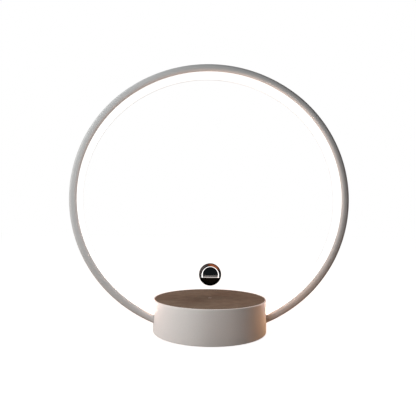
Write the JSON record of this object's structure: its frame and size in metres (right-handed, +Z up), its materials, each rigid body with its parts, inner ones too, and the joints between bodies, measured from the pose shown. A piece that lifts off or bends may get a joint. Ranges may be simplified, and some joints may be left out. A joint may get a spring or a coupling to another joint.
{
  "type": "levitating lamp",
  "caption": "Table lamp with an upright hoop of light on a round base and a dark mirror ball floating over the base.",
  "frame": {"origin": "on the table, under the middle of the base", "axes": "+Z up, +X to the right along the hoop's plane, the front is -Y and the power inlet is at +Y"},
  "size_m": [0.304, 0.122, 0.2931],
  "materials": {
    "paint": "satin",
    "plate": "satin",
    "opal": "satin",
    "lens": "gloss",
    "smoked_chrome": "polished",
    "rubber": "matte",
    "steel": "satin",
    "black_plastic": "satin",
    "nylon": "satin",
    "board": "satin",
    "brass": "satin",
    "copper": "satin",
    "ferrite": "matte",
    "led": "gloss",
    "strip": "matte",
    "wire": "satin",
    "capacitor": "gloss"
  },
  "bodies": {
    "lamp": {"base_shell": "paint", "hoop_channel": "paint", "top_plate": "plate", "hoop_diffuser": "opal", "indicator_lens": "lens", "rubber_feet": "rubber", "cover_screws": "steel", "bracket_screws": "steel", "hoop_screws": "steel", "module_screws": "steel", "hoop_bracket_left": "steel", "hoop_bracket_right": "steel", "levitation_plate": "steel", "coil_cores": "steel", "bottom_cover": "black_plastic", "power_inlet": "black_plastic", "microcontroller": "black_plastic", "driver_chips": "black_plastic", "hall_sensors": "black_plastic", "coil_bobbins": "nylon", "lead_header": "nylon", "control_board": "board", "sensor_board": "board", "board_standoffs": "brass", "plate_spacers": "brass", "inlet_pin": "brass", "coil_windings": "copper", "ring_magnet": "ferrite", "led_chips": "led", "indicator_led": "led", "led_strip": "strip", "led_leads": "wire", "capacitors": "capacitor"},
    "float_core": {"float_magnet": "steel"},
    "ball": {"ball_upper_shell": "smoked_chrome", "ball_lower_shell": "smoked_chrome", "magnet_cup": "black_plastic", "magnet_cap": "black_plastic"}
  },
  "joints": [
    {"name": "ball_lift", "type": "slide", "parent": "lamp", "child": "float_core", "axis": [0, 0, 1], "range_m": [-0.0128, 0.08], "stiffness_N_per_m": 20, "springref_m": 0.0132},
    {"name": "ball_spin", "type": "hinge", "parent": "float_core", "child": "ball", "pos_m": [0, 0, 0.0603], "axis": [0, 0, 1], "continuous": true}
  ]
}
